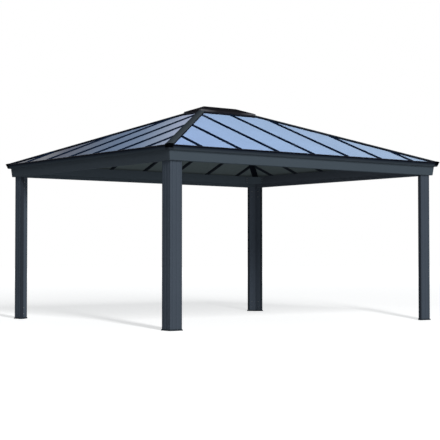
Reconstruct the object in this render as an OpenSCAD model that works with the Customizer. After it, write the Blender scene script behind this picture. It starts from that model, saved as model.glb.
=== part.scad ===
// Hardtop metal gazebo: four angle-section posts carry a ring of fascia beams, and a hipped frame of
// rafters on top holds blue-tinted roof panels under glazing bars, hip caps and a ridge cap.
// Frame: X along the long side, Y along the short side, Z up, origin on the floor at the centre.
// Millimetres throughout. Pieces are drawn at the back right corner or side and mirrored to the others.

/* [Plan] */
// Length over the outer faces of the posts, along X
span_x = 4600; // [3400:10:6000]
// Width over the outer faces of the posts, along Y
span_y = 4010; // [2800:10:5200]
// How far the roof edge stands out past the outer faces of the posts
eave_out = 103; // [100:1:160]

/* [Heights] */
// Clear height from the floor to the underside of the beams
headroom = 2100; // [1700:10:2600]
// Top face of the panels at the roof edge, above the underside of the beams
eave_rise = 165; // [150:1:220]
// Slope of the roof
roof_pitch = 20.9; // [15:0.1:28]

/* [Posts] */
// Width of each leg of the angle-section posts
post_leg = 180; // [120:1:240]
// Thickness of each leg of the posts
post_wall = 48; // [30:1:70]

/* [Feet] */
// Thickness of the foot plates
foot_plate = 6; // [4:1:12]
// Height of the collar that the post stands in
foot_collar = 20; // [14:1:40]
// How far the collar stands out from the post
foot_flare = 8; // [5:1:15]
// Diameter of the anchor hole in each foot plate
anchor_hole = 12; // [8:1:16]
// Distance of the anchor hole from each inner face of the post
anchor_inset = 45; // [35:1:50]

/* [Beams] */
// How far the bottom edge of the fascia stands out from the posts
fascia_out = 35; // [20:1:38]
// How much further out the top edge of the fascia stands than its bottom edge
fascia_lean = 14; // [0:1:18]
// Length of each arm of the corner brackets along the beams
bracket_arm = 205; // [150:1:260]
// Length of the flange by which a bracket meets each beam
bracket_flange = 40; // [20:1:60]
// Plate thickness of the corner brackets
bracket_plate = 6; // [3:1:10]
// Height of the corner brackets
bracket_h = 120; // [60:1:140]
// Gap between the top of the brackets and the top of the beams
bracket_drop = 8; // [2:1:30]

/* [Edge trim] */
// Height of the outer face of the trim, square to the roof slope
trim_h = 58; // [50:1:75]
// Height of the trim's top lip above the panels
trim_lip_rise = 14; // [8:1:24]
// Width of the top lip, along the slope
trim_lip = 34; // [30:1:50]
// Wall thickness of the trim
trim_wall = 6; // [3:1:8]
// How far the corner caps stand out past the hip caps on each side
corner_cap_lap = 2; // [0.5:0.5:6]
// How far the corner caps stand above the hip caps
corner_cap_step = 3; // [1:1:8]

/* [Roof frame] */
// Width of the rafters
rafter_w = 46; // [30:1:70]
// Spacing of the rafters, centre to centre
rafter_step = 625; // [450:5:800]
// Shortest distance from an outer rafter to the roof edge
edge_bay = 400; // [300:10:500]
// Width of the hip rafters and of the ridge beam
hip_w = 90; // [60:1:130]
// Depth of the roof frame, measured straight down
frame_depth = 30; // [24:1:50]
// Gap between the outer ends of the roof frame and the wall of the edge trim
frame_clear = 1.3; // [0.5:0.1:5]

/* [Roof covering] */
// Thickness of the panels, measured straight down
panel_t = 10; // [6:1:16]
// Gap between the edges of two panels over a rafter or hip
panel_gap = 10; // [6:1:20]
// How far the panels stop short of the roof edge
panel_setback = 25; // [20:1:30]
// Rise of the glazing bars above the panels
bar_rise = 18; // [3:1:25]
// Width of the glazing bars
bar_w = 46; // [30:1:70]
// Width of the hip caps
hip_cap_w = 100; // [70:1:140]
// Rise of the hip caps above the panels
hip_cap_rise = 26; // [10:1:36]
// How far the ridge cap reaches past the ridge, all round
ridge_cap_reach = 210; // [150:1:320]
// Rise of the ridge cap above the panels
ridge_cap_rise = 43; // [20:1:60]

/* [Hidden] */
CORNERS = [["front_left", -1, -1], ["front_right", 1, -1], ["back_left", -1, 1], ["back_right", 1, 1]];
SIDES = ["front", "back", "left", "right"];
CORNER_PARTS = ["foot", "post", "corner_bracket", "hip_rafter", "corner_cap", "hip_cap"];
SIDE_PARTS = ["beam", "edge_trim", "rafters", "panels", "glazing_bars"];

METAL = "#3d454f";
METAL_DARK = "#262b31";
PANEL_BLUE = "#9db4da";

// Half sizes over the post faces, and half sizes of the roof edge.
half_x = span_x / 2;
half_y = span_y / 2;
roof_x = half_x + eave_out;
roof_y = half_y + eave_out;
// Half lengths of the ridge: only the longer direction has one.
ridge_x = max(half_x - half_y, 0);
ridge_y = max(half_y - half_x, 0);
// Rise per unit of run, and the height of the panels' top face at the edge and at the ridge.
slope = tan(roof_pitch);
eave_z = headroom + eave_rise;
ridge_z = eave_z + slope * (roof_x - ridge_x);
// A strip on the 45 degree hip line is this much wider when measured along X or Y.
diagonal = sqrt(2);
// Underside of the panels and of the roof frame, straight down from the panels' top face.
frame_top = -panel_t;
frame_low = -panel_t - frame_depth;
// Outward distance of the panels' edge from the post faces.
panel_out = eave_out - panel_setback;
// Outer face of the fascia at its top.
fascia_top_out = fascia_out + fascia_lean;
// The corner caps cover the hip caps' ends.
corner_cap_w = hip_cap_w + 2 * corner_cap_lap;
corner_cap_rise = hip_cap_rise + corner_cap_step;
// How far cutting shapes run past what they cut.
past = 300;
far = max(roof_x, roof_y) + past;
// The shape taken away below a roof layer is this much larger all round.
under_grow = 10;

// Corners of the trim's section, as [distance out from the post faces, height].
function along(p, up_slope, square) =
    [p[0] - up_slope * cos(roof_pitch) + square * sin(roof_pitch),
     p[1] + up_slope * sin(roof_pitch) + square * cos(roof_pitch)];
trim_tip = [eave_out, eave_z + trim_lip_rise];
trim_toe = along(trim_tip, 0, -trim_h);
lip_square = trim_lip_rise * cos(roof_pitch);
// Where the lip ends on the panels, as a distance out from the post faces.
lip_end_out = along(trim_tip, trim_lip, -lip_square)[0];
// The roof frame ends short of the place where its underside would meet the trim's wall. Tenths of a
// millimetre keep the same plain numbers on all four sides.
wall_meets_frame = along(trim_tip, trim_wall, frame_low * cos(roof_pitch) - lip_square)[0];
frame_out = floor(10 * (wall_meets_frame - frame_clear)) / 10;

// Height of a plane that lies h above the panels' top face, at a distance out from the posts.
function plane_z(out, h) = eave_z + slope * (eave_out - out) + h;

// Mirrors a piece from the back right corner to the corner c; two mirrors make a half turn.
module to_corner(c) {
    if (c[1] < 0 && c[2] < 0) rotate([0, 0, 180]) children();
    else if (c[1] < 0) mirror([1, 0, 0]) children();
    else if (c[2] < 0) mirror([0, 1, 0]) children();
    else children();
}

// Sides "front" and "left" are the mirror images of "back" and "right".
module to_side(side) {
    if (side == "front") mirror([0, 1, 0]) children();
    else if (side == "left") mirror([1, 0, 0]) children();
    else children();
}

function is_long(side) = side == "front" || side == "back";

// A bar with the section points [distance out from the posts, height] along the whole of a side.
module side_bar(side, points) {
    if (is_long(side))
        translate([-far, 0, 0]) rotate([90, 0, 90]) linear_extrude(2 * far)
            translate([half_y, 0]) polygon(points);
    else
        translate([0, far, 0]) rotate([90, 0, 0]) linear_extrude(2 * far)
            translate([half_x, 0]) polygon(points);
}

// An upright prism over the plan points, from below the floor to above the roof.
module plan_prism(points) {
    translate([0, 0, -past]) linear_extrude(ridge_z + 2 * past) polygon(points);
}

module plan_box(x0, x1, y0, y1) {
    plan_prism([[x0, y0], [x1, y0], [x1, y1], [x0, y1]]);
}

// The part of the plan that belongs to the back or right side, cut at 45 degrees at the corners.
module mitre(side) {
    reach = 400;
    inner_x = half_x - reach;
    inner_y = half_y - reach;
    if (is_long(side))
        plan_prism([[-inner_x, inner_y], [inner_x, inner_y],
                    [half_x + reach, half_y + reach], [-half_x - reach, half_y + reach]]);
    else
        plan_prism([[inner_x, -inner_y], [half_x + reach, -half_y - reach],
                    [half_x + reach, half_y + reach], [inner_x, inner_y]]);
}

// Strip of width w along the hip line of the back right corner, from the end of the ridge outwards.
module hip_strip(w) {
    half_cut = w / 2 * diagonal;
    end_x = ridge_x + far;
    end_y = ridge_y + far;
    plan_prism([[ridge_x, ridge_y], [ridge_x + half_cut, ridge_y], [end_x + half_cut, end_y],
                [end_x, end_y + half_cut], [ridge_x, ridge_y + half_cut]]);
}

// Section through the space below two opposite slopes that lie h above the panels' top face.
// Both directions share the same foot and head heights, so that the slopes meet on the hip line.
function roof_section(ridge, h, grow) =
    let (
        edge = ridge + far + grow,
        edge_z = ridge_z + h - slope * (far + grow),
        floor_z = -grow,
        head_z = ridge_z + h,
        tower_z = head_z + past
    )
    ridge > 0
        ? [[-edge, floor_z], [edge, floor_z], [edge, edge_z], [ridge, head_z], [ridge, tower_z],
           [-ridge, tower_z], [-ridge, head_z], [-edge, edge_z]]
        : [[-edge, floor_z], [edge, floor_z], [edge, edge_z], [0, head_z], [-edge, edge_z]];

// Everything below the hipped surface that lies h above the panels' top face.
module under_roof(h, grow = 0) {
    length_x = 2 * (ridge_x + far + grow);
    length_y = 2 * (ridge_y + far + grow);
    intersection() {
        translate([-length_x / 2, 0, 0]) rotate([90, 0, 90]) linear_extrude(length_x)
            polygon(roof_section(ridge_y, h, grow));
        translate([0, length_y / 2, 0]) rotate([90, 0, 0]) linear_extrude(length_y)
            polygon(roof_section(ridge_x, h, grow));
    }
}

// The skin between two heights above the panels' top face, following all four slopes.
module roof_layer(low, high) {
    difference() {
        under_roof(high);
        under_roof(low, under_grow);
    }
}

// Plan of one slope between its two hip lines, keeping hip_gap off them on each side (square to
// the hip) and ridge_gap off the ridge, out to the distance out from the posts.
function slope_plan(side, hip_gap, ridge_gap, out) =
    let (
        ridge_along = is_long(side) ? ridge_x : ridge_y,
        ridge_across = is_long(side) ? ridge_y : ridge_x,
        edge = (is_long(side) ? half_y : half_x) + out,
        gap = hip_gap * diagonal,
        start = ridge_across + max(ridge_gap, gap - ridge_along),
        top_half = ridge_along + start - ridge_across - gap,
        low_half = ridge_along + edge - ridge_across - gap,
        flat = top_half > 0.01
            ? [[-top_half, start], [top_half, start], [low_half, edge], [-low_half, edge]]
            : [[0, start], [low_half, edge], [-low_half, edge]]
    )
    is_long(side) ? flat : [for (p = flat) [p[1], p[0]]];

// Places of the rafters along a side: the long sides have one in the middle, the short sides a
// pair either side of it, so that rafters of two sides meet on the hips.
function rafter_places(side) =
    let (
        half_side = (is_long(side) ? roof_x : roof_y) - edge_bay,
        offset = is_long(side) == (span_x >= span_y) ? 0 : 0.5,
        count = floor(half_side / rafter_step - offset)
    )
    [for (i = [-count - 2 * offset : count]) (i + offset) * rafter_step];

// A strip of width w square to the side, at the place along it.
module cross_strip(side, place, w) {
    if (is_long(side)) plan_box(place - w / 2, place + w / 2, 0, far);
    else plan_box(0, far, place - w / 2, place + w / 2);
}

module foot(c) {
    pad = post_leg + foot_flare;
    drill = 1;
    color(METAL) to_corner(c) translate([half_x, half_y, 0]) {
        difference() {
            linear_extrude(foot_plate)
                polygon([[foot_flare, foot_flare], [-pad, foot_flare], [-pad, -post_wall],
                         [-post_wall, -pad], [foot_flare, -pad]]);
            translate([-post_wall - anchor_inset, -post_wall - anchor_inset, -drill])
                cylinder(h = foot_plate + 2 * drill, d = anchor_hole, $fn = 32);
        }
        linear_extrude(foot_collar)
            polygon([[foot_flare, foot_flare], [-pad, foot_flare], [-pad, -post_wall],
                     [-post_leg, -post_wall], [-post_leg, 0], [0, 0], [0, -post_leg],
                     [-post_wall, -post_leg], [-post_wall, -pad], [foot_flare, -pad]]);
    }
}

module post(c) {
    color(METAL) to_corner(c) translate([half_x, half_y, foot_plate])
        linear_extrude(headroom - foot_plate)
            polygon([[0, 0], [-post_leg, 0], [-post_leg, -post_wall], [-post_wall, -post_wall],
                     [-post_wall, -post_leg], [0, -post_leg]]);
}

module beam(side) {
    color(METAL) to_side(side) intersection() {
        side_bar(side, [[-post_wall, headroom], [fascia_out, headroom],
                        [fascia_top_out, trim_toe[1]],
                        [fascia_top_out, plane_z(fascia_top_out, frame_low)],
                        [-post_wall, plane_z(-post_wall, frame_low)]]);
        mitre(side);
    }
}

// A folded plate across the corner, with a flange on each beam.
module corner_bracket(c) {
    inner = bracket_arm - bracket_flange;
    fold = inner + bracket_plate * (diagonal - 1);
    top = plane_z(-post_wall, frame_low) - bracket_drop;
    color(METAL_DARK) to_corner(c)
        translate([half_x - post_wall, half_y - post_wall, top - bracket_h])
            linear_extrude(bracket_h)
                polygon([[-inner, 0], [-bracket_arm, 0], [-bracket_arm, -bracket_plate],
                         [-fold, -bracket_plate], [-bracket_plate, -fold],
                         [-bracket_plate, -bracket_arm], [0, -bracket_arm], [0, -inner]]);
}

module edge_trim(side) {
    lip_in = along(trim_tip, trim_lip, 0);
    lip_foot = along(trim_tip, trim_lip, -lip_square);
    wall_top = along(trim_tip, trim_wall, -lip_square);
    wall_low = along(trim_toe, trim_wall, 0);
    floor_top = trim_toe[1] + trim_wall;
    // The wall's inner face meets the top of the bottom flange at this point.
    wall_foot = [wall_low[0] + (floor_top - wall_low[1]) * tan(roof_pitch), floor_top];
    color(METAL) to_side(side) difference() {
        intersection() {
            side_bar(side, [[fascia_top_out, trim_toe[1]], trim_toe, trim_tip, lip_in, lip_foot,
                            wall_top, wall_foot, [fascia_top_out, floor_top]]);
            mitre(side);
        }
        hip_strip(corner_cap_w);
        mirror([is_long(side) ? 1 : 0, is_long(side) ? 0 : 1, 0]) hip_strip(corner_cap_w);
    }
}

// Closes the trim at a corner: the trim's outer envelope, within a strip on the hip line.
module corner_cap(c) {
    outer_top = along(trim_toe, 0, trim_h + 2 * corner_cap_rise);
    envelope = [[-post_wall, trim_toe[1]], trim_toe, outer_top, [-post_wall, outer_top[1]]];
    color(METAL_DARK) to_corner(c) difference() {
        intersection() {
            side_bar("back", envelope);
            side_bar("right", envelope);
            hip_strip(corner_cap_w);
            under_roof(corner_cap_rise);
        }
        plan_box(0, half_x + panel_out, 0, half_y + panel_out);
    }
}

module hip_rafter(c) {
    color(METAL_DARK) to_corner(c) difference() {
        intersection() {
            hip_strip(hip_w);
            plan_box(0, half_x + frame_out, 0, half_y + frame_out);
            roof_layer(frame_low, frame_top);
        }
        ridge_block(hip_w / 2);
    }
}

// The plan rectangle that lies within reach of the ridge.
module ridge_block(reach) {
    plan_box(-ridge_x - reach, ridge_x + reach, -ridge_y - reach, ridge_y + reach);
}

module ridge_beam() {
    color(METAL_DARK) intersection() {
        ridge_block(hip_w / 2);
        roof_layer(frame_low, frame_top);
    }
}

module rafters(side) {
    color(METAL_DARK) to_side(side) intersection() {
        union() for (place = rafter_places(side)) cross_strip(side, place, rafter_w);
        plan_prism(slope_plan(side, hip_w / 2, hip_w / 2, frame_out));
        roof_layer(frame_low, frame_top);
    }
}

module panels(side) {
    color(PANEL_BLUE) to_side(side) difference() {
        intersection() {
            plan_prism(slope_plan(side, panel_gap / 2, panel_gap / 2, panel_out));
            roof_layer(-panel_t, 0);
        }
        for (place = rafter_places(side)) cross_strip(side, place, panel_gap);
    }
}

module glazing_bars(side) {
    color(METAL_DARK) to_side(side) intersection() {
        union() for (place = rafter_places(side)) cross_strip(side, place, bar_w);
        plan_prism(slope_plan(side, hip_cap_w / 2, ridge_cap_reach, lip_end_out));
        roof_layer(0, bar_rise);
    }
}

module hip_cap(c) {
    color(METAL) to_corner(c) difference() {
        intersection() {
            hip_strip(hip_cap_w);
            plan_box(0, half_x + panel_out, 0, half_y + panel_out);
            roof_layer(0, hip_cap_rise);
        }
        ridge_block(ridge_cap_reach);
    }
}

module ridge_cap() {
    color(METAL_DARK) intersection() {
        ridge_block(ridge_cap_reach);
        roof_layer(0, ridge_cap_rise);
    }
}

for (c = CORNERS) {
    foot(c);
    post(c);
    corner_bracket(c);
    hip_rafter(c);
    corner_cap(c);
    hip_cap(c);
}
for (side = SIDES) {
    beam(side);
    edge_trim(side);
    rafters(side);
    panels(side);
    glazing_bars(side);
}
ridge_beam();
ridge_cap();
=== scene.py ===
"""Looks of the hardtop metal gazebo: folded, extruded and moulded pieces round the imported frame.

Everything is in metres in the frame's own axes: X along the long side, Y along the short side, Z up,
origin on the floor at the centre. Roof pieces are placed by run, the plan distance square from the
ridge, and lift, the height straight above the top face of the roof panels.
"""

import math

import bmesh
import bpy
import numpy as np
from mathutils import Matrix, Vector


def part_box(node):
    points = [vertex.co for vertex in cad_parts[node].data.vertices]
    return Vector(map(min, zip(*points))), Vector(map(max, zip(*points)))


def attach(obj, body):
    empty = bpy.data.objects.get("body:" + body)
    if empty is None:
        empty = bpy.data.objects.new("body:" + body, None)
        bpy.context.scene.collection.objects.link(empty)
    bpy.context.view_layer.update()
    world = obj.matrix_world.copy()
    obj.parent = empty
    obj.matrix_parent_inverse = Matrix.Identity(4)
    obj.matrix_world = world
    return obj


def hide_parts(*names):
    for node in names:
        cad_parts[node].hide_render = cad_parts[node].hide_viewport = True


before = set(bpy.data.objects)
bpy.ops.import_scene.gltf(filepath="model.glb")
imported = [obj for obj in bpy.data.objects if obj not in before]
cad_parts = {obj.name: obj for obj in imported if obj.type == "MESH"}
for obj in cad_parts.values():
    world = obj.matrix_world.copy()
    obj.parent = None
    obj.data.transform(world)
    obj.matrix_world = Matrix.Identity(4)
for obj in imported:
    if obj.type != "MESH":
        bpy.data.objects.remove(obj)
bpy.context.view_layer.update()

# ---------------- sizes read from the frame
CORNERS = {"front_left": (-1, -1), "front_right": (1, -1), "back_left": (-1, 1), "back_right": (1, 1)}
SIDES = ("front", "back", "left", "right")

post_low, post_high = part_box("post_back_right")
beam_low, beam_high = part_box("beam_right")
trim_low, trim_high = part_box("edge_trim_right")
panel_low, panel_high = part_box("panels_back")
bracket_low, bracket_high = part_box("corner_bracket_back_right")
foot_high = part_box("foot_back_right")[1]
ridge_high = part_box("ridge_beam")[1]
cap_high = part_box("ridge_cap")[1]
hip_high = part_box("hip_rafter_back_right")[1]
bar_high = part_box("glazing_bars_back")[1]
hip_cap_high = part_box("hip_cap_back_right")[1]

HALF_X = post_high.x
HALF_Y = post_high.y
LEG = post_high.x - post_low.x
WALL = HALF_X - beam_low.x
PLATE = post_low.z
HEADROOM = beam_low.z
FLARE = foot_high.x - HALF_X
COLLAR = foot_high.z
FASCIA_TOP_OUT = beam_high.x - HALF_X
HIP_W = 2 * ridge_high.y
RIDGE_X = ridge_high.x - HIP_W / 2
PANEL_T = 0.010
FRAME_LIFT = -PANEL_T - 0.030
RIDGE_Z = ridge_high.z + PANEL_T
PANEL_RUN = panel_high.y
SLOPE = (RIDGE_Z - PANEL_T - panel_low.z) / PANEL_RUN
PITCH = math.atan(SLOPE)
EDGE_RUN = trim_high.x - RIDGE_X
FRAME_RUN = hip_high.y
CAP_REACH = cap_high.y
CAP_RISE = cap_high.z - RIDGE_Z
BAR_RISE = bar_high.z - RIDGE_Z + SLOPE * CAP_REACH
HIP_CAP_RISE = hip_cap_high.z - RIDGE_Z + SLOPE * CAP_REACH
TRIM_TOE = trim_low.z
EAVE_OUT = trim_high.x - HALF_X
EAVE_Z = RIDGE_Z - SLOPE * EDGE_RUN

# Sizes of the pieces that the frame's boxes don't give; FRAME_LIFT above is the rafters' underside.
FASCIA_OUT = 0.035
LIP_RISE = 0.014
LIP = 0.034
TRIM_H = 0.058
PANEL_GAP = 0.010
RAFTER_W = 0.046
BAR_W = 0.046
HIP_CAP_W = 0.100
CORNER_CAP_W = 0.104
RAFTER_STEP = 0.625
EDGE_BAY = 0.400
BRACKET_ARM = 0.205
BRACKET_FLANGE = 0.040
BRACKET_PLATE = 0.006
ANCHOR_INSET = 0.045
ANCHOR_R = 0.006
SCREW_STEP = 0.30
CAP_SCREW_STEP = 0.32
CAP_SCREW_ASIDE = 0.030
BOLT_INSET = 0.075
CLOSE_FIT = 0.0003
MITRE_GAP = 0.0006
CAP_GAP = 0.0004
DIAGONAL = math.sqrt(2)
SMOOTH_UNDER = math.radians(32)


# ---------------- places on the object
def is_long(side):
    """The front and back run along X and are the long sides."""
    return side in ("front", "back")


def sign_of(side):
    """The sign of the side's own outward axis, Y on a long side and X on a short one."""
    return -1 if side in ("front", "left") else 1


def ridge_half(side):
    """Half the length of the ridge that a side's slope ends at; a short side ends at a point."""
    return RIDGE_X if is_long(side) else 0.0


def to_side(side, along, across, z):
    """Points of a side: x = along and y = across on a long side, and the other way on a short one."""
    along, across, z = np.broadcast_arrays(along, across, z)
    across = sign_of(side) * across
    return np.stack([along, across, z] if is_long(side) else [across, along, z], axis=-1)


def on_roof(side, along, run, lift):
    """Points on a slope: across = ridge start + run, z = ridge height - slope * run + lift."""
    start = 0.0 if is_long(side) else RIDGE_X
    return to_side(side, along, start + np.asarray(run), RIDGE_Z - SLOPE * np.asarray(run) + lift)


def on_hip(corner, travel, aside, lift):
    """Points by the hip line: x = ridge end + (travel + aside) / sqrt 2, y = (travel - aside) / sqrt 2,
    z = ridge height - slope * (travel + |aside|) / sqrt 2 + lift, mirrored to the corner."""
    travel, aside, lift = np.broadcast_arrays(travel, aside, lift)
    sign_x, sign_y = CORNERS[corner]
    x = RIDGE_X + (travel + aside) / DIAGONAL
    y = (travel - aside) / DIAGONAL
    z = RIDGE_Z - SLOPE * (travel + np.abs(aside)) / DIAGONAL + lift
    return np.stack([sign_x * x, sign_y * y, z], axis=-1)


def slope_normal(side):
    """Unit normal of a slope: (slope, 1) / length, turned to the side."""
    length = math.hypot(SLOPE, 1)
    return to_side(side, 0.0, SLOPE / length, 1 / length)


def rafter_places(side):
    """Places along a side: whole steps on a long side, half steps on a short one."""
    half_side = (trim_high.x if is_long(side) else EDGE_RUN) - EDGE_BAY
    offset = 0.0 if is_long(side) else 0.5
    count = math.floor(half_side / RAFTER_STEP - offset)
    return (np.arange(-count - 2 * offset, count + 1) + offset) * RAFTER_STEP


# ---------------- surfaces
def rounded(corners, radius, steps=4):
    """Closed outline with an arc at each corner. With half the inner angle h, the arc of radius r
    touches the sides r / tan h from the corner, about a centre r / sin h along the bisector."""
    points = np.asarray(corners, float)
    back = np.roll(points, 1, axis=0) - points
    forth = np.roll(points, -1, axis=0) - points
    back_length = np.linalg.norm(back, axis=1)
    forth_length = np.linalg.norm(forth, axis=1)
    back /= back_length[:, None]
    forth /= forth_length[:, None]
    half = np.arccos(np.clip((back * forth).sum(axis=1), -1, 1)) / 2
    reach = np.minimum(np.asarray(radius) / np.tan(half), 0.48 * np.minimum(back_length, forth_length))
    arc_radius = reach * np.tan(half)
    middle = back + forth
    middle /= np.linalg.norm(middle, axis=1)[:, None]
    centre = points + middle * (arc_radius / np.sin(half))[:, None]
    sweep = (math.pi - 2 * half)[:, None]
    share = np.linspace(0, 1, steps + 1)[None, :]
    first = (np.sin((1 - share) * sweep) / np.sin(sweep))[:, :, None]
    last = (np.sin(share * sweep) / np.sin(sweep))[:, :, None]
    start = (points + back * reach[:, None] - centre)[:, None, :]
    end = (points + forth * reach[:, None] - centre)[:, None, :]
    return (centre[:, None, :] + first * start + last * end).reshape(-1, 2)


def creased(outline):
    """Adds a point wherever an outline crosses its own middle line, so that it can fold there."""
    following = np.roll(outline, -1, axis=0)
    crossing = np.flatnonzero(outline[:, 0] * following[:, 0] < 0)
    first, last = outline[crossing], following[crossing]
    share = (first[:, 0] / (first[:, 0] - last[:, 0]))[:, None]
    return np.insert(outline, crossing + 1, first + (last - first) * share, axis=0)


def skin(rings, loop=False):
    """Points and faces of a grid of points rings[i, j]: quads between neighbours, closed in j, and in
    i either closed too (loop) or ended by one flat face at each end."""
    rows, columns = rings.shape[:2]
    index = np.arange(rows * columns).reshape(rows, columns)
    lap = np.vstack([index, index[:1]]) if loop else index
    lap = np.hstack([lap, lap[:, :1]])
    quads = np.stack([lap[:-1, :-1], lap[:-1, 1:], lap[1:, 1:], lap[1:, :-1]], axis=-1).reshape(-1, 4)
    ends = [] if loop else [index[0, ::-1].tolist(), index[-1].tolist()]
    return rings.reshape(-1, 3), quads.tolist() + ends


def joined(shapes):
    """Several (points, faces) pairs as one."""
    offsets = np.cumsum([0] + [len(points) for points, faces in shapes[:-1]])
    faces = [[k + int(offset) for k in face]
             for (points, some), offset in zip(shapes, offsets) for face in some]
    return np.concatenate([points for points, _ in shapes]), faces


def repeated(shape, places, axes):
    """One small shape at many places: point = place + axes * point, for all places at once."""
    points, faces = shape
    moved = places[:, None, :] + np.einsum("kij,nj->kni", axes, points)
    offsets = np.arange(len(places)) * len(points)
    many = [[k + int(offset) for k in face] for offset in offsets for face in faces]
    return moved.reshape(-1, 3), many


def standing_axes(normals):
    """Axes for shapes that stand along their z: the last column is the normal, the others square to it."""
    z = np.asarray(normals, float)
    z = z / np.linalg.norm(z, axis=1)[:, None]
    hint = np.where(np.abs(z[:, 2:3]) > 0.9, [[1.0, 0.0, 0.0]], [[0.0, 0.0, 1.0]])
    x = np.cross(hint, z)
    x /= np.linalg.norm(x, axis=1)[:, None]
    return np.stack([x, np.cross(z, x), z], axis=-1)


def add_object(name, data):
    """A new object in the scene, at the origin and unturned."""
    made = bpy.data.objects.new(name, data)
    bpy.context.scene.collection.objects.link(made)
    return made


def clean(mesh, merge, flat=None):
    """Merges points nearer than merge, dissolves edges that turn less than flat, turns faces outward."""
    work = bmesh.new()
    work.from_mesh(mesh)
    bmesh.ops.remove_doubles(work, verts=work.verts, dist=merge)
    if flat:
        bmesh.ops.dissolve_limit(work, angle_limit=flat, verts=work.verts, edges=work.edges)
    bmesh.ops.recalc_face_normals(work, faces=work.faces)
    work.to_mesh(mesh)
    work.free()


def piece(name, shape, material, replaced=(), bevel=0.0):
    """A finished object: points merged, normals outwards, sharp edges kept, riding on the frame."""
    points, faces = shape
    mesh = bpy.data.meshes.new(name)
    mesh.from_pydata(points.tolist(), [], faces)
    clean(mesh, 1e-6)
    mesh.shade_smooth()
    mesh.set_sharp_from_angle(angle=SMOOTH_UNDER)
    mesh.materials.append(material)
    made = add_object(name, mesh)
    if bevel:
        rounding = made.modifiers.new("rounding", "BEVEL")
        rounding.width = bevel
        rounding.segments = 3
        rounding.limit_method = "ANGLE"
    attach(made, "root")
    if replaced:
        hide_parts(*replaced)
    return made


# ---------------- shader building blocks
def node(tree, kind, inputs=None, **settings):
    """A shader node with its settings; an input given as a socket is linked, any other is set."""
    made = tree.nodes.new(kind)
    for key, value in settings.items():
        setattr(made, key, value)
    for key, value in (inputs or {}).items():
        if isinstance(value, bpy.types.NodeSocket):
            tree.links.new(value, made.inputs[key])
        else:
            made.inputs[key].default_value = value
    return made


def math_node(tree, operation, first, second=0.0, clamp=False):
    made = node(tree, "ShaderNodeMath", {0: first, 1: second}, operation=operation, use_clamp=clamp)
    return made.outputs[0]


def mixed(tree, share, first, second):
    """Colour mix: first at share 0, second at share 1."""
    made = node(tree, "ShaderNodeMix", {0: share, 6: first, 7: second}, data_type="RGBA")
    return made.outputs[2]


def remapped(tree, value, low, high, to_low, to_high):
    """The value carried from low..high to to_low..to_high, and held at the ends."""
    made = node(tree, "ShaderNodeMapRange", {0: value, 1: low, 2: high, 3: to_low, 4: to_high})
    return made.outputs[0]


def noise(tree, place, scale, detail=2.0, roughness=0.5):
    made = node(tree, "ShaderNodeTexNoise", {"Vector": place, "Scale": scale, "Detail": detail,
                                             "Roughness": roughness})
    return made.outputs["Fac"]


def new_group(name, inputs, outputs):
    """An empty node group; inputs and outputs are {name: socket type}."""
    group = bpy.data.node_groups.new(name, "ShaderNodeTree")
    for socket, kind in inputs.items():
        group.interface.new_socket(name=socket, in_out="INPUT", socket_type=kind)
    for socket, kind in outputs.items():
        group.interface.new_socket(name=socket, in_out="OUTPUT", socket_type=kind)
    return group, group.nodes.new("NodeGroupInput").outputs, group.nodes.new("NodeGroupOutput").inputs


NUMBER = "NodeSocketFloat"
COLOUR = "NodeSocketColor"
VECTOR = "NodeSocketVector"


def make_powder_coat_group():
    """Powder coat: a slow change of tone, a fine orange-peel height and roughness that follows both."""
    group, given, out = new_group(
        "powder_coat",
        {"Place": VECTOR, "Colour": COLOUR, "Tone Change": NUMBER, "Gloss Level": NUMBER,
         "Peel Size": NUMBER},
        {"Colour": COLOUR, "Roughness": NUMBER, "Height": NUMBER})
    slow = noise(group, given["Place"], 1.7, 3.0)
    middle = noise(group, given["Place"], 23.0, 2.0)
    peel = noise(group, given["Place"], given["Peel Size"], 1.0)
    tone = math_node(group, "ADD", math_node(group, "MULTIPLY", slow, 0.7),
                     math_node(group, "MULTIPLY", middle, 0.3))
    swing = math_node(group, "MULTIPLY", math_node(group, "SUBTRACT", tone, 0.5), given["Tone Change"])
    scale = math_node(group, "ADD", swing, 1.0)
    scaled = node(group, "ShaderNodeVectorMath", {0: given["Colour"], 3: scale},
                  operation="SCALE").outputs[0]
    rough = math_node(group, "ADD", given["Gloss Level"], math_node(group, "MULTIPLY", swing, 0.35),
                      clamp=True)
    for socket, value in (("Colour", scaled), ("Roughness", rough), ("Height", peel)):
        group.links.new(value, out[socket])
    return group


def make_draw_lines_group():
    """Lines left by the extrusion die: noise stretched along one direction by the three given scales."""
    group, given, out = new_group("draw_lines", {"Place": VECTOR, "Scales": VECTOR}, {"Height": NUMBER})
    stretched = node(group, "ShaderNodeVectorMath", {0: given["Place"], 1: given["Scales"]},
                     operation="MULTIPLY").outputs[0]
    group.links.new(noise(group, stretched, 1.0, 2.0), out["Height"])
    return group


def make_flutes_group():
    """Inner ribs of a twin-wall sheet, square to Across: a narrow line each Pitch, and a soft wave."""
    group, given, out = new_group(
        "sheet_flutes", {"Across": NUMBER, "Pitch": NUMBER, "Line Share": NUMBER},
        {"Line": NUMBER, "Wave": NUMBER})
    turns = math_node(group, "DIVIDE", given["Across"], given["Pitch"])
    share = math_node(group, "FRACT", turns)
    away = math_node(group, "ABSOLUTE", math_node(group, "SUBTRACT", share, 0.5))
    line = math_node(group, "LESS_THAN", math_node(group, "SUBTRACT", 0.5, away), given["Line Share"])
    wave = math_node(group, "SINE", math_node(group, "MULTIPLY", turns, 2 * math.pi))
    group.links.new(line, out["Line"])
    group.links.new(wave, out["Wave"])
    return group


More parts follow.
